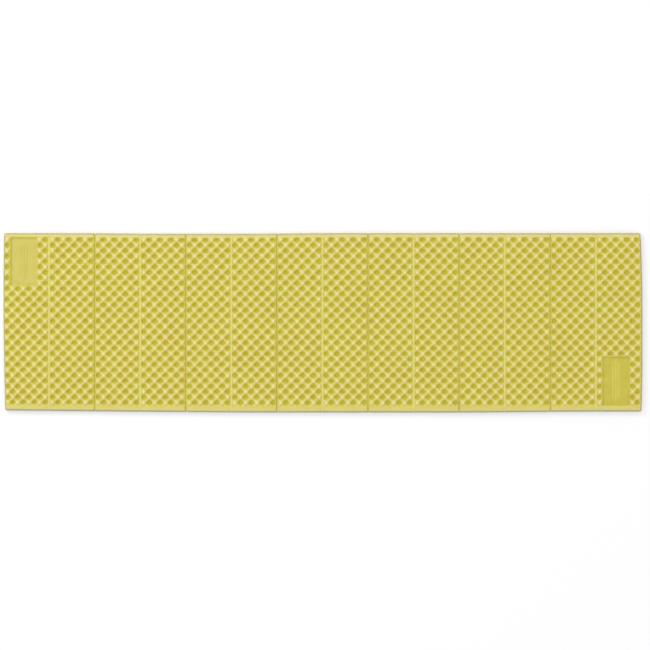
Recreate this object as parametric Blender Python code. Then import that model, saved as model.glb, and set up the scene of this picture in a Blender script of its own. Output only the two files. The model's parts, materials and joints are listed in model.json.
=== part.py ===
"""Accordion-fold foam sleeping pad: fourteen egg-crate panels of one foam sheet, and the thirteen
thin hinge webs pressed between them. It lies open and flat on z = 0, centred on the origin.

The length runs along X and the width along Y. Panels are counted from -X. The webs lie in turn at the
top of the sheet, where the two top faces fold together, and at the bottom, where the undersides do.
"""

import bmesh
import bpy
from mathutils import Vector

# Driving dimensions, in metres.
LENGTH = 1.830
WIDTH = 0.510
PANELS = 14
COLUMNS = 8  # egg-crate cells along each panel
ROWS = 31  # egg-crate cells across the pad
COLUMN_PITCH = 0.0157
ROW_PITCH = 0.0155
BACK_BORDER = 0.0107  # flat border at +Y. The one at -Y takes what is left
FIRST_LIP = 0.0040  # flat lip before the first cells, at -X
LAST_LIP = 0.0064  # flat lip past the last cells, at +X
FOAM = 0.0106  # thickness of the foam, measured upright
RELIEF = 0.0047  # rise of a peak, and fall of a dimple, from the middle level
WEB_THICKNESS = 0.0020
CLEARANCE = 0.0003  # between a web and the panels beside it
NESTED_GAP = 0.0001  # left between two panels when they are folded together

# Smooth label pads, by panel: first column and row, columns and rows. The top is pressed down flat,
# level with the dimples, and the underside keeps its relief.
LABELS = {1: (2, 1, 5, 9), PANELS: (2, 23, 5, 9)}

# Worked out from them.
HINGE_GAP = (LENGTH - FIRST_LIP - LAST_LIP - PANELS * COLUMNS * COLUMN_PITCH) / (PANELS - 1)
PITCH = COLUMNS * COLUMN_PITCH + HINGE_GAP
MIDDLE = FOAM / 2 + RELIEF  # height of the middle of the foam
LABEL_LEVEL = MIDDLE + FOAM / 2 - RELIEF
FOLD_OFFSET = (FOAM + NESTED_GAP) / 2  # a fold's axis above or below the middle
FRONT_BORDER = WIDTH - ROWS * ROW_PITCH - BACK_BORDER


def fold_line(fold):
    """X of the line between panel number fold and the next one, the middle of their hinge gap."""
    return FIRST_LIP + fold * PITCH - HINGE_GAP / 2 - LENGTH / 2


def is_top_fold(fold):
    return fold % 2 == 1


def axis_height(fold):
    return MIDDLE + (FOLD_OFFSET if is_top_fold(fold) else -FOLD_OFFSET)


def make_material(name, colour, roughness):
    material = bpy.data.materials.new(name)
    material.use_nodes = True
    shader = material.node_tree.nodes["Principled BSDF"]
    shader.inputs["Base Color"].default_value = (*colour, 1.0)
    shader.inputs["Roughness"].default_value = roughness
    shader.inputs["Metallic"].default_value = 0.0
    return material


def make_object(name, shape, place, collection, material):
    """A mesh object from a bmesh whose points are measured from place."""
    mesh = bpy.data.meshes.new(name)
    shape.to_mesh(mesh)
    shape.free()
    mesh.materials.append(material)
    piece = bpy.data.objects.new(name, mesh)
    piece.location = place
    collection.objects.link(piece)
    return piece


def column_lines(panel):
    """Where the panel's grid is cut along X, from its left fold line: edge, cell centres, edge."""
    shoulder = HINGE_GAP / 2
    lines = [shoulder]
    lines += [shoulder + (column + 0.5) * COLUMN_PITCH for column in range(COLUMNS)]
    lines += [PITCH - shoulder]
    if panel == 1:
        lines = [shoulder - FIRST_LIP, *lines]
    if panel == PANELS:
        lines = [*lines, PITCH - shoulder + LAST_LIP]
    return lines


def row_lines():
    """Where every panel's grid is cut along Y, from -Y: edge, border, cell centres, border, edge."""
    front = -WIDTH / 2
    pattern = front + FRONT_BORDER
    centres = [pattern + (row + 0.5) * ROW_PITCH for row in range(ROWS)]
    return [front, pattern, *centres, pattern + ROWS * ROW_PITCH, -front]


def cell_level(column, row):
    """Level of the foam at a cell's centre, from the middle: a checkerboard of peaks and dimples.

    Columns are counted from 1 at -X, and rows from 1 at +Y. Everything outside the cells is level.
    """
    if not (1 <= column <= COLUMNS and 1 <= row <= ROWS):
        return 0.0
    return RELIEF if (column + row) % 2 == 0 else -RELIEF


def in_label(panel, column, row):
    if panel not in LABELS:
        return False
    first_column, first_row, columns, rows = LABELS[panel]
    inside_columns = first_column <= column < first_column + columns
    return inside_columns and first_row <= row < first_row + rows


def split_quads(grid, panel):
    """Triangles whose diagonals turn from row to row, and from panel to panel.

    Folding a panel over its neighbour mirrors it, so the diagonals of the two must lean opposite
    ways for every ridge to drop into a valley.
    """
    heights = sorted({round(face.calc_center_median().y, 5) for face in grid.faces})
    for method, turn in (("FIXED", 0), ("ALTERNATE", 1)):
        faces = [
            face
            for face in grid.faces
            if len(face.verts) == 4
            and (heights.index(round(face.calc_center_median().y, 5)) + panel) % 2 == turn
        ]
        bmesh.ops.triangulate(grid, faces=faces, quad_method=method)


def make_panel(panel, collection, material):
    """One egg-crate panel: a grid raised to its relief, then drawn down by the foam's thickness.

    The label pad is pressed last, when the underside is already there.
    """
    xs = column_lines(panel)
    ys = row_lines()
    lines_before_cells = 2 if panel == 1 else 1
    grid = bmesh.new()
    label = []
    bmesh.ops.create_grid(grid, x_segments=len(xs) - 1, y_segments=len(ys) - 1, size=0.5)
    for vert in grid.verts:
        across = round((vert.co.x + 0.5) * (len(xs) - 1))
        along = round((vert.co.y + 0.5) * (len(ys) - 1))
        column = across - lines_before_cells + 1
        row = ROWS - (along - 2)
        vert.co = Vector((xs[across], ys[along], MIDDLE + FOAM / 2 + cell_level(column, row)))
        if in_label(panel, column, row):
            label.append(vert)
    split_quads(grid, panel)
    top = list(grid.faces)
    drawn = bmesh.ops.extrude_face_region(grid, geom=top, use_keep_orig=True)
    bottom = [item for item in drawn["geom"] if isinstance(item, bmesh.types.BMVert)]
    bmesh.ops.translate(grid, vec=(0.0, 0.0, -FOAM), verts=bottom)
    for vert in label:
        vert.co.z = LABEL_LEVEL
    bmesh.ops.recalc_face_normals(grid, faces=grid.faces)
    place = Vector((fold_line(panel - 1), 0.0, 0.0))
    hinge = Vector((0.0, 0.0, axis_height(panel - 1))) if panel > 1 else Vector()
    bmesh.ops.translate(grid, vec=-hinge, verts=grid.verts)
    return make_object(f"panel_{panel:02d}", grid, place + hinge, collection, material)


def make_web(fold, collection, material):
    """The thin bending strip on a fold line, with its inner face against the fold's axis."""
    width = HINGE_GAP - 2 * CLEARANCE
    inner = FOAM / 2 - WEB_THICKNESS / 2
    height = MIDDLE + (inner if is_top_fold(fold) else -inner)
    strip = bmesh.new()
    bmesh.ops.create_cube(strip, size=1.0)
    bmesh.ops.scale(strip, vec=(width, WIDTH, WEB_THICKNESS), verts=strip.verts)
    place = (fold_line(fold), 0.0, height)
    return make_object(f"hinge_web_{fold:02d}", strip, place, collection, material)


def clear_scene():
    for thing in list(bpy.data.objects):
        bpy.data.objects.remove(thing, do_unlink=True)


def build():
    clear_scene()
    pad = bpy.data.collections.new("foam_sleeping_pad")
    bpy.context.scene.collection.children.link(pad)
    foam = make_material("yellow_foam", (0.60, 0.52, 0.16), 0.75)
    pressed = make_material("pressed_foam", (0.34, 0.29, 0.06), 0.60)
    for panel in range(1, PANELS + 1):
        make_panel(panel, pad, foam)
    for fold in range(1, PANELS):
        make_web(fold, pad, pressed)


build()
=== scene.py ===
import json
import math

import bpy
import numpy as np
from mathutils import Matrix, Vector

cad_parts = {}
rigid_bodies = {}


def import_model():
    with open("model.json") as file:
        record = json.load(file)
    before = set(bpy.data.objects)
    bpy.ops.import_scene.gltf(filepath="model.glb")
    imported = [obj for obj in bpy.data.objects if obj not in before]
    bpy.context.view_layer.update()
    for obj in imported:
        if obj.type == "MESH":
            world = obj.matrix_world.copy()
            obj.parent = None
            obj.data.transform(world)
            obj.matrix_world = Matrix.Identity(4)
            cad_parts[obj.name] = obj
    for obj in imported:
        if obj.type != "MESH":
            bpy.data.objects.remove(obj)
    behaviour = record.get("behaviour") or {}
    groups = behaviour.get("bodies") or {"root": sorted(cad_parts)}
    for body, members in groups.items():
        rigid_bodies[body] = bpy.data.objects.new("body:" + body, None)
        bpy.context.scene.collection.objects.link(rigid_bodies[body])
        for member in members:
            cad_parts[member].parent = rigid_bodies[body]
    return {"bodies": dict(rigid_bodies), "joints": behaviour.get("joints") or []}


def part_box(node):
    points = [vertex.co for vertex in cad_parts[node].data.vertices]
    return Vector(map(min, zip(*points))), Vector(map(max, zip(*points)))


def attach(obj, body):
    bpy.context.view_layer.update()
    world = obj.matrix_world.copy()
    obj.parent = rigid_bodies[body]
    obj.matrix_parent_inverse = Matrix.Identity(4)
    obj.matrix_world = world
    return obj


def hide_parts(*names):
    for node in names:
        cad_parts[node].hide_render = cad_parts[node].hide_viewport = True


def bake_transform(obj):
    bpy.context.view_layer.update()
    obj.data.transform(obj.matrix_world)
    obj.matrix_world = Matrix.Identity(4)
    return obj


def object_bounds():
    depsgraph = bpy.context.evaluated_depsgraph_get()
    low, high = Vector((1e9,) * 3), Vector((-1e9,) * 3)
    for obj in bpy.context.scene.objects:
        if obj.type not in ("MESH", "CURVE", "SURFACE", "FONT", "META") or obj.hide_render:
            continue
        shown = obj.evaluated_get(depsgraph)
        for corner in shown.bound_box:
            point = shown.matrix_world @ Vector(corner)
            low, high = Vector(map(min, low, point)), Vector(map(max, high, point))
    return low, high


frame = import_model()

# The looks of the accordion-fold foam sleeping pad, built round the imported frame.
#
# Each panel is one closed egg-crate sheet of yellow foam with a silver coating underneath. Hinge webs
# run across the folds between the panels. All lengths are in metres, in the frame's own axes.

cad_low, cad_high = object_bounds()

# The egg-crate pattern.
PANELS = len(frame["bodies"])
COLUMNS, ROWS = 8, 31
FIRST_LIP, LAST_LIP = 0.0040, 0.0064  # flat lips at the two ends of the pad
BACK_BORDER = 0.0107
ROW_PITCH = 0.0155
FOAM = 0.0096  # thickness of the foam, measured upright
MIDDLE = (cad_low.z + cad_high.z) / 2
RELIEF = MIDDLE - cad_low.z - FOAM / 2  # rise of a peak, and fall of a dimple
FLAT_TOP = MIDDLE + FOAM / 2  # level of the borders
FLAT_UNDER = MIDDLE - FOAM / 2
CELL_STEPS = 6  # mesh faces along each side of a cell
CELL_SPREAD = 0.05  # how far the cells differ in height and in tone
PEAK_FULLNESS = 0.14  # how much fuller than a sine wave the peaks and dimples are
FLAT_DARKENING = 0.42  # how much the flat borders and lips are darkened, in units of painted shade
SHADE_ALONG = 0.62  # painted shade on a cell's back and front slopes, against that on its side slopes
BACK_TONES = (0.72, 0.25)  # tone of the back border where it starts, and its rise to the edge, a pale painted highlight
FRONT_TONES = (0.12, 0.55)  # the same painted highlight for the front border
FRONT_EDGE_SHADE = 0.35  # more painted shade near the front edge
RIGHT_LIP_LOOKS = (0.5, 1.2)  # tone and painted shade of the lip at the right end

# The real outline against the CAD's straight one: how far it lies out or in where it differs most.
FRONT_OUT, BACK_OUT = 0.0022, 0.0014
FRONT_LEFT_IN, FRONT_RIGHT_IN = 0.0056, 0.0027
BACK_DIP = 0.0019
LEFT_FRONT_IN, LEFT_BACK_IN = 0.0048, 0.0013
RIGHT_FRONT_IN, RIGHT_BACK_IN = 0.0022, 0.0050
SIDE_START, SIDE_FADE = 0.035, 0.030  # where the bend starts from the front and back, and its fade
END_FADE = 0.04  # how far in from each end its bend fades out

# The rims.
OUTER_RIM = 0.0056  # rounded edge and slanting side round the outline
FOLD_RIM = 0.0010  # rounded edge beside a fold
CORNER = 0.0028  # radius of the pad's corners
MOST_RIM_SHADE = 2.1  # the most painted shade that a rim shows
SILVER_RING = {"outer": 9, "fold": 10}  # the first ring of a rim that is silver
EDGE_SHADE = {-1: 1.45, 0: (1.3, 1.1), 1: 1.7}  # how strongly painted shade darkens each outer rim: left, front and back, right

# The webs.
WEB_TUCK = 0.0005  # how far a web runs into the panel on each side
WEB_SIDE = 0.0005  # how far below the panel's face a web's notch starts
WEB_NOTCH = 0.0032  # depth of the notch at its middle
WEB_BEAD = 0.0003  # rise of a web's flush face at its middle
WEB_SINK = 0.0003  # how far in that face lies at its edges
TOP_FOLD_TONES = (0.10, 0.24)  # tone of a web at its edges, and its change to the middle, a painted highlight along a top fold's web
# The same for an under fold's web, darker in the middle: painted shade in its groove.
UNDER_FOLD_TONES = (0.05, -0.62)
# Tone at a web's ends, pale like the rim's painted highlight.
WEB_END_TONE = 0.7

# Label pads, by panel. Edges in cells from the pattern's left and back: left, right, back, front. Then
# the width of the slope at each of those edges, and whether the lines stand up (1) or are cut in (-1).
LABELS = {
    1: ((1.17, 5.96, 0.17, 8.83), (0.0045, 0.0013, 0.0045, 0.0045), -1),
    PANELS: ((1.06, 5.96, 22.06, 31.05), (0.0013, 0.0013, 0.0013, 0.0013), 1),
}
PRESSED_TOP = MIDDLE + 0.0002  # level of a pressed pad
THINNEST = 0.0007  # foam left under a pressed pad
LINES = ((-0.0085, 0.090), (0.0, 0.116), (0.0085, 0.100))  # across and length of each label line
LINE_WIDTH = 0.0040
LINE_HEIGHT = 0.00015
LABEL_LOOKS = {1: (0.12, 0.72), PANELS: (-0.34, 0.25)}  # tone and painted shade of each pad; the last pad's low tone is painted shade in its recess
LINE_TONE = 0.3  # painted highlight on a raised line, painted shade in a cut one: how much paler or darker it is
WALL_TONE = 0.3  # painted shade on the slope round a pad: how much darker it is

# The foam's colours along the tone: the deeper yellow is painted shade in the dimples, the cream a
# painted highlight on the peaks.
FOAM_TONES = (
    (0.0, (0.555, 0.462, 0.026)),
    (0.25, (0.535, 0.455, 0.045)),
    (0.5, (0.680, 0.600, 0.128)),
    (0.75, (0.700, 0.625, 0.215)),
    (1.0, (0.745, 0.665, 0.355)),
)
SHADE_DARKENS = (0.198, 0.205, 0.200)  # lost from each colour for every unit of painted shade
MOTTLE = 0.30  # span of the small wander in tone
HUE_MIDDLE, HUE_DRIFT = 0.502, 0.036  # 0.5 leaves the hue as it is

# The camera.
VIEW_WIDTH = 1.8560  # what the picture takes in, at the pad's top
CAMERA_HEIGHT = 4.5
CAMERA_PLACE = (0.0060, -0.0066)


def smooth(t):
    t = np.clip(t, 0.0, 1.0)
    return t * t * (3.0 - 2.0 * t)


class Panel:
    """Where one panel lies, read from its CAD node, and how its cells differ."""

    def __init__(self, number):
        self.number = number
        self.name = f"panel_{number:02d}"
        low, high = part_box(self.name)
        self.low, self.high = low, high
        self.left = low.x + (FIRST_LIP if number == 1 else 0.0)
        self.right = high.x - (LAST_LIP if number == PANELS else 0.0)
        self.column_pitch = (self.right - self.left) / COLUMNS
        self.back = high.y - BACK_BORDER
        self.front = self.back - ROWS * ROW_PITCH
        chance = np.random.default_rng(number)
        self.height_spread = chance.uniform(-CELL_SPREAD, 0.0, (ROWS, COLUMNS))
        self.tone_spread = chance.uniform(-1.0, 1.0, (ROWS, COLUMNS)) * 1.6 * CELL_SPREAD
        self.label = None
        if number in LABELS:
            (left, right, back, front), self.walls, self.line_side = LABELS[number]
            self.label = (
                self.left + left * self.column_pitch, self.left + right * self.column_pitch,
                self.back - back * ROW_PITCH, self.back - front * ROW_PITCH,
            )

    def cells(self, x, y):
        """Places in cells, along and across, and how much each point's own cell differs."""
        a = (x - self.left) / self.column_pitch
        b = (self.back - y) / ROW_PITCH
        column = np.clip(np.floor(a), 0, COLUMNS - 1).astype(int)
        row = np.clip(np.floor(b), 0, ROWS - 1).astype(int)
        return a, b, self.height_spread[row, column], self.tone_spread[row, column]

    def in_label(self, x, y):
        """1 on the label pad, 0 outside it, with a slope between."""
        if self.label is None:
            return np.zeros_like(x)
        left, right, back, front = self.label
        inward = (x - left, right - x, back - y, y - front)
        margins = [distance / wall + 0.5 for distance, wall in zip(inward, self.walls)]
        return smooth(np.minimum.reduce(margins))

    def in_label_cells(self, a, b):
        """True in the cells that the label pad touches. Their tops are flat round the pad."""
        (left, right, back, front), *_ = LABELS[self.number]
        columns = (a > math.floor(left)) & (a < math.ceil(right))
        return columns & (b > math.floor(back)) & (b < min(math.ceil(front), ROWS))

    def surfaces(self, x, y):
        """Heights of the top and the underside, and the looks of the foam there.

        The looks are the tone, from -1 in a dimple to 1 on a peak, which paints shade into the dimples
        and a highlight onto the peaks, and how much painted shade darkens the foam.
        """
        a, b, taller, lighter = self.cells(x, y)
        inside = (a > 0) & (a < COLUMNS) & (b > 0) & (b < ROWS)
        wave = np.where(inside, np.sin(np.pi * a) * np.sin(np.pi * b), 0.0)
        # Painted shade on a cell's steep slopes, more on its side slopes than on its back and front
        # ones; the flat borders are darkened evenly, more near the front edge.
        steep = (np.cos(np.pi * a) * np.sin(np.pi * b)) ** 2
        steep = steep + SHADE_ALONG * (np.sin(np.pi * a) * np.cos(np.pi * b)) ** 2
        front_edge = FRONT_EDGE_SHADE * smooth((b - ROWS - 0.7) / 0.5)
        steep = np.where(inside, steep, FLAT_DARKENING + front_edge)
        # Painted highlight: the back and front borders are pale, paler towards their edges.
        at_back = BACK_TONES[0] + BACK_TONES[1] * smooth(-b / 0.6)
        at_front = FRONT_TONES[0] + FRONT_TONES[1] * smooth((b - ROWS) / 1.3)
        border = np.where(b < 0, at_back, at_front)
        right_lip = (a > COLUMNS) & (self.number == PANELS)
        border = np.where(right_lip, RIGHT_LIP_LOOKS[0], border)
        steep = np.where(right_lip, RIGHT_LIP_LOOKS[1], steep)
        shape = wave * (1.0 + PEAK_FULLNESS - PEAK_FULLNESS * wave * wave) * (1.0 + taller)
        # The tone follows the wave, a painted highlight on the peaks and painted shade in the dimples,
        # with a random spread from cell to cell.
        tone = wave * (1.0 + lighter) + (1 - inside) * border
        top = FLAT_TOP + RELIEF * shape
        under = FLAT_UNDER + RELIEF * shape
        if self.label:
            label = self.in_label(x, y)
            beside = self.in_label_cells(a, b)
            top = FLAT_TOP + (top - FLAT_TOP) * (1.0 - beside)
            tone, steep = tone * (1.0 - beside), steep + (FLAT_DARKENING - steep) * beside
            lines = self.line_side * label_lines(self.label, x, y)
            top = top + (PRESSED_TOP + LINE_HEIGHT * lines - top) * label
            under = np.minimum(under, top - THINNEST)
            pad_tone, pad_shade = LABEL_LOOKS[self.number]
            slope = 4.0 * label * (1.0 - label)
            # The pad's tone, with painted highlight on raised lines, painted shade in cut lines and on
            # the slope round it.
            tone = tone + (pad_tone + LINE_TONE * lines - tone) * label - WALL_TONE * slope
            steep = steep + (pad_shade - steep) * label
        return top, under, np.column_stack([tone, steep])


def label_lines(label, x, y):
    """1 on the plain lines that stand for a label's words, 0 off them."""
    left, right, back, front = label
    across = x - (left + right) / 2
    along = y - (front + back) / 2
    marked = np.zeros_like(x)
    for place, length in LINES:
        beside = 1.0 - np.abs(across - place) / (LINE_WIDTH / 2)
        ends = (length / 2 - np.abs(along)) / 0.002
        marked = np.maximum(marked, smooth(beside * 1.6) * smooth(ends))
    return marked


def rim_profile(kind):
    """Rings down the edge of a panel: (share of the rim's width, drop from the top or rise from the
    underside, True where the height is measured from the top, how much painted shade darkens it)."""
    if kind == "outer":
        return [
            (0.12, 0.0001, True, 1.1), (0.28, 0.0003, True, 1.3), (0.44, 0.0008, True, 1.4),
            (0.56, 0.0015, True, 1.5), (0.68, 0.0025, True, 1.7), (0.79, 0.0040, True, 2.0),
            (0.88, 0.0038, False, 2.3), (0.94, 0.0022, False, 2.5),
            (0.98, 0.0011, False, 2.6), (1.00, 0.0004, False, 2.6), (0.96, 0.0, False, 2.6),
        ]
    return [
        (0.40, 0.0001, True, 0.0), (0.70, 0.0004, True, 0.0), (0.88, 0.0009, True, 0.0),
        (0.97, 0.0016, True, 0.0), (1.00, 0.0026, True, 0.0), (1.00, 0.0040, True, 0.0),
        (1.00, 0.0028, False, 0.0), (1.00, 0.0017, False, 0.0),
        (0.93, 0.0008, False, 0.0), (0.75, 0.0003, False, 0.0), (0.40, 0.0001, False, 0.0),
    ]


def grid_lines(low, high, step, extra=()):
    """Even lines from low to high no further apart than step, with extra ones put in."""
    count = max(1, math.ceil((high - low) / step - 1e-6))
    lines = set(np.round(np.linspace(low, high, count + 1), 7))
    for line in extra:
        near = min(lines, key=lambda other: abs(other - line))
        if abs(near - line) < step * 0.2 and near not in (round(low, 7), round(high, 7)):
            lines.discard(near)
        lines.add(round(line, 7))
    return np.array(sorted(lines))


def mesh_object(name, points, faces, materials, face_material, looks):
    mesh = bpy.data.meshes.new(name)
    mesh.from_pydata(points.tolist(), [], faces)
    for material in materials:
        mesh.materials.append(material)
    mesh.polygons.foreach_set("material_index", np.asarray(face_material, np.int32))
    mesh.polygons.foreach_set("use_smooth", np.ones(len(faces), bool))
    for column, attribute in enumerate(("tone", "stretch")):
        values = mesh.attributes.new(attribute, "FLOAT", "POINT")
        values.data.foreach_set("value", np.asarray(looks[:, column], np.float32))
    mesh.update()
    mesh.validate()
    piece = bpy.data.objects.new(name, mesh)
    bpy.context.scene.collection.objects.link(piece)
    return piece


def boundary(columns, rows):
    """Grid places round the edge, anticlockwise from above, with which way is outward."""
    around = [(i, 0) for i in range(columns)]
    around += [(columns - 1, j) for j in range(1, rows)]
    around += [(i, rows - 1) for i in range(columns - 2, -1, -1)]
    around += [(0, j) for j in range(rows - 2, 0, -1)]
    i, j = np.array(around).T
    outward_x = np.where(i == 0, -1, np.where(i == columns - 1, 1, 0))
    outward_y = np.where(j == 0, -1, np.where(j == rows - 1, 1, 0))
    return j * columns + i, outward_x, outward_y


def grid_quads(columns, rows):
    corner = (np.arange(rows - 1)[:, None] * columns + np.arange(columns - 1)[None, :]).ravel()
    return np.column_stack([corner, corner + 1, corner + columns + 1, corner + columns])


def bowed(x, y):
    """The pad's real outline: rounded corners, front and back edges that bend, and ends that lean in."""
    reach, side = cad_high.x, cad_high.y
    across = np.clip((np.abs(x) - reach + CORNER) / CORNER, 0.0, 1.0)
    along = np.clip((np.abs(y) - side + CORNER) / CORNER, 0.0, 1.0)
    round_x = CORNER * across * (1.0 - np.sqrt(1.0 - along * along / 2))
    round_y = CORNER * along * (1.0 - np.sqrt(1.0 - across * across / 2))
    front = smooth((-y - side + SIDE_START) / SIDE_FADE)
    back = smooth((y - side + SIDE_START) / SIDE_FADE)
    rise = FRONT_LEFT_IN * np.clip((-x - 0.20) / 0.67, 0.0, 1.1) ** 1.2
    rise = rise + FRONT_RIGHT_IN * smooth((x - 0.36) / 0.45)
    fall = BACK_DIP * np.exp(-(((x + 0.34) / 0.27) ** 4))
    at_left = smooth(1.0 - (x + reach) / END_FADE)
    at_right = smooth(1.0 - (reach - x) / END_FADE)
    left_in = LEFT_FRONT_IN * np.clip((0.03 - y) / 0.271, 0.0, 1.1) ** 1.4
    left_in = left_in + LEFT_BACK_IN * np.clip(y / 0.223, 0.0, 1.2) ** 2
    right_in = RIGHT_BACK_IN * np.clip(y / 0.246, 0.0, 1.1) ** 2.4
    right_in = right_in + RIGHT_FRONT_IN * np.clip(-y / 0.241, 0.0, 1.1) ** 4
    new_x = x - np.sign(x) * round_x + at_left * left_in - at_right * right_in
    new_y = y - np.sign(y) * round_y + front * (rise - FRONT_OUT) + back * (BACK_OUT - fall)
    return new_x, new_y


def rounded_points(x, y, z):
    return np.column_stack([*bowed(x, y), z])


def make_panel(panel, foam, silver):
    """One closed egg-crate panel: top sheet, rings round the rim, and underside."""
    kinds = {-1: ("fold", FOLD_RIM), 0: ("outer", OUTER_RIM), 1: ("fold", FOLD_RIM)}
    if panel.number == 1:
        kinds[-1] = kinds[0]
    if panel.number == PANELS:
        kinds[1] = kinds[0]
    x0, x1 = panel.low.x + kinds[-1][1], panel.high.x - kinds[1][1]
    y0, y1 = panel.low.y + OUTER_RIM, panel.high.y - OUTER_RIM
    extra_x = [line for line in (panel.left, panel.right) if x0 < line < x1]
    extra_y = [panel.front, panel.back]
    if panel.label:
        left, right, back, front = panel.label
        for offset in (-0.5, 0.0, 0.5):
            slopes = [offset * wall for wall in panel.walls]
            extra_x += [left + slopes[0], right + slopes[1]]
            extra_y += [back + slopes[2], front + slopes[3]]
        middle = (left + right) / 2
        extra_x += [
            middle + place + offset * LINE_WIDTH / 2
            for place, _ in LINES for offset in (-1.0, -0.4, 0.4, 1.0)
        ]
    xs = grid_lines(x0, x1, panel.column_pitch / CELL_STEPS, extra_x)
    ys = grid_lines(y0, y1, ROW_PITCH / CELL_STEPS, extra_y)
    columns, rows = len(xs), len(ys)
    x, y = (part.ravel() for part in np.meshgrid(xs, ys))
    top, under, looks = panel.surfaces(x, y)
    edge, out_x, out_y = boundary(columns, rows)

    points, all_looks = [rounded_points(x, y, top)], [looks]
    profiles = {kind: rim_profile(kind) for kind in ("outer", "fold")}
    rings = len(profiles["outer"])
    for ring in range(rings):
        ring_x = x[edge]
        for side in (-1, 1):
            kind, width = kinds[side]
            ring_x = ring_x + np.where(out_x == side, side * profiles[kind][ring][0] * width, 0.0)
        ring_y = y[edge] + out_y * profiles["outer"][ring][0] * OUTER_RIM
        ring_top, ring_under, ring_looks = panel.surfaces(ring_x, ring_y)
        height, weight = np.zeros(len(edge)), np.zeros(len(edge))
        for side in (-1, 0, 1):
            share, rise, from_top, stretch = profiles[kinds[side][0]][ring]
            on = (out_x == side) if side else (out_y != 0)
            height[on] += (ring_top - rise if from_top else ring_under + rise)[on]
            weight[on] += 1.0
            if kinds[side][0] == "outer":
                # Painted highlight: the tone of an outer rim rises towards its edge.
                ring_looks[on, 0] = 0.3 + 0.7 * share
                # Painted shade darkens the outer rim, by a different amount on each side.
                rim_shade = EDGE_SHADE[side] if side else np.where(out_y < 0, *EDGE_SHADE[0])[on]
                ring_looks[on, 1] = np.clip(stretch * rim_shade, FLAT_DARKENING, MOST_RIM_SHADE)
        points.append(rounded_points(ring_x, ring_y, height / weight))
        all_looks.append(ring_looks)
    points.append(rounded_points(x, y, under))
    all_looks.append(looks)

    size = columns * rows
    under_start = size + rings * len(edge)
    starts = [size + ring * len(edge) + np.arange(len(edge)) for ring in range(rings)]
    loops = [edge, *starts, under_start + edge]
    quads = grid_quads(columns, rows)
    faces = [*quads.tolist(), *(quads[:, ::-1] + under_start).tolist()]
    materials = [0] * len(quads) + [1] * len(quads)
    following = np.roll(np.arange(len(edge)), -1)
    outer_here = np.array([kinds[int(side)][0] == "outer" for side in out_x]) | (out_y != 0)
    for ring, (upper, lower) in enumerate(zip(loops[:-1], loops[1:])):
        faces += np.column_stack([upper, lower, lower[following], upper[following]]).tolist()
        first_silver = np.where(outer_here, SILVER_RING["outer"], SILVER_RING["fold"])
        materials += (ring >= first_silver).astype(int).tolist()
    piece = mesh_object(
        f"foam_{panel.name}", np.vstack(points), faces, [foam, silver], materials,
        np.vstack(all_looks),
    )
    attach(piece, panel.name)
    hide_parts(panel.name)


def closed_strip(name, x, y, upper, lower, columns, materials, looks):
    """A closed piece from an upper and a lower sheet on one grid."""
    rows = len(x) // columns
    edge, _, _ = boundary(columns, rows)
    size = len(x)
    points = np.vstack([rounded_points(x, y, upper), rounded_points(x, y, lower)])
    quads = grid_quads(columns, rows)
    following = np.roll(edge, -1)
    band = np.column_stack([edge, edge + size, following + size, following])
    faces = [*quads.tolist(), *(quads[:, ::-1] + size).tolist(), *band.tolist()]
    face_material = [0] * len(quads) + [1] * len(quads) + [0] * len(band)
    return mesh_object(name, points, faces, materials, face_material, np.tile(looks, (2, 1)))


def make_web(joint, number, pressed, silver):
    """The strip across a fold: flush on the side that folds shut, notched on the other."""
    axis_z = joint["pos_m"][2]
    before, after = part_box(joint["parent"])[1].x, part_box(joint["child"])[0].x
    across = np.linspace(before - WEB_TUCK, after + WEB_TUCK, 15)
    rim = [ring for ring in rim_profile("outer") if ring[2]]
    shares, drops, _, rim_shades = (np.array(column) for column in zip((0.0, 0.0, True, 0.0), *rim))
    inner = cad_high.y - OUTER_RIM
    ends = inner + shares * OUTER_RIM
    along = grid_lines(-ends[-1], ends[-1], 0.006, [*ends[:-1], *-ends[:-1]])
    x, y = (part.ravel() for part in np.meshgrid(across, along))
    share = (np.abs(y) - inner) / OUTER_RIM
    drop = np.interp(share, shares, drops)
    middle = np.clip(1.0 - np.abs(2.0 * (x - before) / (after - before) - 1.0), 0.0, 1.0)
    bead = WEB_BEAD * smooth(middle * 1.5) - WEB_SINK
    notch = WEB_SIDE + (WEB_NOTCH - WEB_SIDE) * middle ** 0.8
    if axis_z > MIDDLE:
        upper, lower = FLAT_TOP + bead - drop, FLAT_UNDER + notch
        tone = TOP_FOLD_TONES[0] + TOP_FOLD_TONES[1] * middle
    else:
        upper, lower = FLAT_TOP - notch - drop, FLAT_UNDER - bead
        tone = UNDER_FOLD_TONES[0] + UNDER_FOLD_TONES[1] * middle
    tone = tone + (WEB_END_TONE - tone) * smooth(share * 1.3)
    piece = closed_strip(
        f"foam_hinge_web_{number:02d}", x, y, upper, lower, len(across), [pressed, silver],
        np.column_stack([tone, np.interp(share, shares, rim_shades)]),
    )
    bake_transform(piece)
    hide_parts(f"hinge_web_{number:02d}")


def node(tree, kind, **inputs):
    made = tree.nodes.new(kind)
    for name, value in inputs.items():
        made.inputs[name.replace("_", " ")].default_value = value
    return made


def math_node(tree, operation, *values):
    """A Math node; each value is a number or the output that feeds it."""
    made = tree.nodes.new("ShaderNodeMath")
    made.operation = operation
    for place, value in enumerate(values):
        if isinstance(value, (int, float)):
            made.inputs[place].default_value = value
        else:
            tree.links.new(value, made.inputs[place])
    return made.outputs["Value"]


def vector_node(tree, operation, *values):
    """A Vector Math node; each value is a vector or the output that feeds it."""
    made = tree.nodes.new("ShaderNodeVectorMath")
    made.operation = operation
    for place, value in enumerate(values):
        if isinstance(value, tuple):
            made.inputs[place].default_value = value
        else:
            tree.links.new(value, made.inputs[place])
    return made


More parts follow.
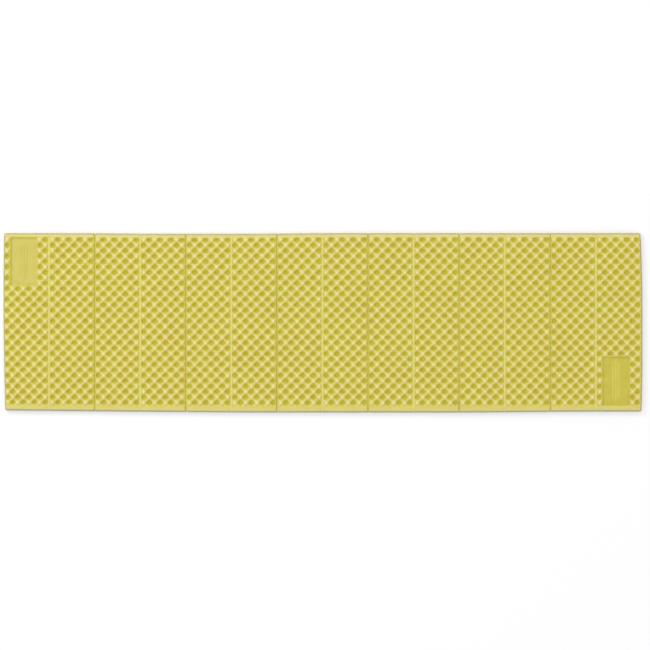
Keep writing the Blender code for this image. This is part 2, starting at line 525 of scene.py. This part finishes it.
def foam_material(name, roughness):
    """Closed-cell foam with fine skin texture; the tone paints a highlight that makes the peaks cream
    and shade that deepens the dimples' yellow, and painted shade darkens it further.
    """
    material = bpy.data.materials.new(name)
    material.use_nodes = True
    tree = material.node_tree
    link = tree.links.new
    shader = tree.nodes["Principled BSDF"]
    shader.inputs["Roughness"].default_value = roughness
    shader.inputs["IOR"].default_value = 1.42
    shader.inputs["Specular IOR Level"].default_value = 0.30
    shader.inputs["Subsurface Weight"].default_value = 0.8
    shader.inputs["Subsurface Radius"].default_value = (1.0, 0.85, 0.35)
    shader.inputs["Subsurface Scale"].default_value = 0.005

    tone = tree.nodes.new("ShaderNodeAttribute")
    tone.attribute_name = "tone"
    place = tree.nodes.new("ShaderNodeTexCoord").outputs["Object"]
    mottle = node(tree, "ShaderNodeTexNoise", Scale=70.0, Detail=3.0, Roughness=0.55)
    link(place, mottle.inputs["Vector"])
    wander = math_node(tree, "MULTIPLY_ADD", mottle.outputs["Fac"], MOTTLE, -MOTTLE / 2)
    level = math_node(tree, "ADD", tone.outputs["Fac"], wander)
    share = math_node(tree, "MULTIPLY_ADD", level, 0.5, 0.5)
    ramp = tree.nodes.new("ShaderNodeValToRGB")
    stops = ramp.color_ramp.elements
    stops[0].color, stops[1].color = (*FOAM_TONES[0][1], 1.0), (*FOAM_TONES[-1][1], 1.0)
    for position, colour in FOAM_TONES[1:-1]:
        stops.new(position).color = (*colour, 1.0)
    link(share, ramp.inputs["Fac"])

    drift = node(tree, "ShaderNodeTexNoise", Scale=38.0, Detail=2.0)
    link(place, drift.inputs["Vector"])
    hue_start = HUE_MIDDLE - HUE_DRIFT / 2
    hue = math_node(tree, "MULTIPLY_ADD", drift.outputs["Fac"], HUE_DRIFT, hue_start)
    tinted = node(tree, "ShaderNodeHueSaturation")
    link(hue, tinted.inputs["Hue"])
    link(ramp.outputs["Color"], tinted.inputs["Color"])
    # Painted shade: the colour is darkened on steep slopes, rims, borders and pads.
    stretch = tree.nodes.new("ShaderNodeAttribute")
    stretch.attribute_name = "stretch"
    shade = vector_node(tree, "SCALE", SHADE_DARKENS)
    link(stretch.outputs["Fac"], shade.inputs["Scale"])
    left = vector_node(tree, "SUBTRACT", (1.0, 1.0, 1.0), shade.outputs["Vector"])
    darkened = vector_node(tree, "MULTIPLY", tinted.outputs["Color"], left.outputs["Vector"])
    link(darkened.outputs["Vector"], shader.inputs["Base Color"])

    skin = node(tree, "ShaderNodeTexVoronoi", Scale=900.0)
    link(place, skin.inputs["Vector"])
    ripple = node(tree, "ShaderNodeTexNoise", Scale=260.0, Detail=2.0)
    link(place, ripple.inputs["Vector"])
    both = math_node(tree, "MULTIPLY_ADD", skin.outputs["Distance"], 0.6, ripple.outputs["Fac"])
    bump = node(tree, "ShaderNodeBump", Strength=0.30, Distance=0.0005)
    link(both, bump.inputs["Height"])
    link(bump.outputs["Normal"], shader.inputs["Normal"])
    return material


def silver_material():
    """The reflective coating of the underside: dull silver, a little uneven."""
    material = bpy.data.materials.new("silver_coating")
    material.use_nodes = True
    tree = material.node_tree
    link = tree.links.new
    shader = tree.nodes["Principled BSDF"]
    shader.inputs["Metallic"].default_value = 0.85
    place = tree.nodes.new("ShaderNodeTexCoord").outputs["Object"]
    mottle = node(tree, "ShaderNodeTexNoise", Scale=140.0, Detail=4.0, Roughness=0.6)
    link(place, mottle.inputs["Vector"])
    ramp = tree.nodes.new("ShaderNodeValToRGB")
    stops = ramp.color_ramp.elements
    stops[0].position, stops[0].color = 0.3, (0.34, 0.345, 0.35, 1.0)
    stops[1].position, stops[1].color = 0.7, (0.48, 0.485, 0.49, 1.0)
    link(mottle.outputs["Fac"], ramp.inputs["Fac"])
    link(ramp.outputs["Color"], shader.inputs["Base Color"])
    rough = tree.nodes.new("ShaderNodeMapRange")
    rough.inputs["To Min"].default_value = 0.34
    rough.inputs["To Max"].default_value = 0.56
    link(mottle.outputs["Fac"], rough.inputs["Value"])
    link(rough.outputs["Result"], shader.inputs["Roughness"])
    grain = node(tree, "ShaderNodeTexNoise", Scale=700.0, Detail=2.0)
    link(place, grain.inputs["Vector"])
    bump = node(tree, "ShaderNodeBump", Strength=0.3, Distance=0.0004)
    link(grain.outputs["Fac"], bump.inputs["Height"])
    link(bump.outputs["Normal"], shader.inputs["Normal"])
    return material


def make_stage():
    """A plain white floor, just under the pad."""
    bpy.ops.mesh.primitive_plane_add(size=60.0, location=(0.0, 0.0, cad_low.z - 0.0002))
    floor = bpy.context.object
    floor.name = "floor"
    material = bpy.data.materials.new("white_floor")
    material.use_nodes = True
    shader = material.node_tree.nodes["Principled BSDF"]
    shader.inputs["Base Color"].default_value = (0.86, 0.86, 0.865, 1.0)
    shader.inputs["Roughness"].default_value = 0.9
    shader.inputs["Specular IOR Level"].default_value = 0.1
    floor.data.materials.append(material)


def add_light(name, kind, power, place):
    """A white light, unseen by the camera, turned to the pad."""
    lamp = bpy.data.lights.new(name, kind)
    lamp.energy = power
    light = bpy.data.objects.new(name, lamp)
    light.location = place
    light.rotation_euler = Vector(place).to_track_quat("Z", "Y").to_euler()
    light.visible_camera = False
    bpy.context.scene.collection.objects.link(light)
    return lamp


def make_light():
    """White surroundings, a broad light overhead, and a lower one from the back left."""
    world = bpy.data.worlds.new("studio")
    world.use_nodes = True
    background = world.node_tree.nodes["Background"]
    background.inputs["Color"].default_value = (1.0, 1.0, 1.0, 1.0)
    background.inputs["Strength"].default_value = 0.68
    bpy.context.scene.world = world
    overhead = add_light("overhead_light", "SUN", power=1.26, place=(-0.4, 0.3, 5.6))
    overhead.angle = math.radians(36.0)
    low = add_light("low_softbox", "AREA", power=56.0, place=(-2.8, 3.1, 3.0))
    low.shape = "DISK"
    low.size = 1.8


def make_camera():
    """Straight above, the pad's length along the picture, a touch off its centre."""
    lens = bpy.data.cameras.new("camera")
    lens.sensor_width = 36.0
    lens.lens = lens.sensor_width * CAMERA_HEIGHT / VIEW_WIDTH
    camera = bpy.data.objects.new("camera", lens)
    camera.location = (*CAMERA_PLACE, cad_high.z + CAMERA_HEIGHT)
    bpy.context.scene.collection.objects.link(camera)
    bpy.context.scene.camera = camera


def build():
    foam = foam_material("yellow_foam", 0.62)
    pressed = foam_material("pressed_foam", 0.5)
    silver = silver_material()
    for number in range(1, PANELS + 1):
        make_panel(Panel(number), foam, silver)
    for number, joint in enumerate(frame["joints"], 1):
        make_web(joint, number, pressed, silver)
    make_stage()
    make_light()
    make_camera()
    bpy.context.scene.view_settings.view_transform = "Standard"


build()
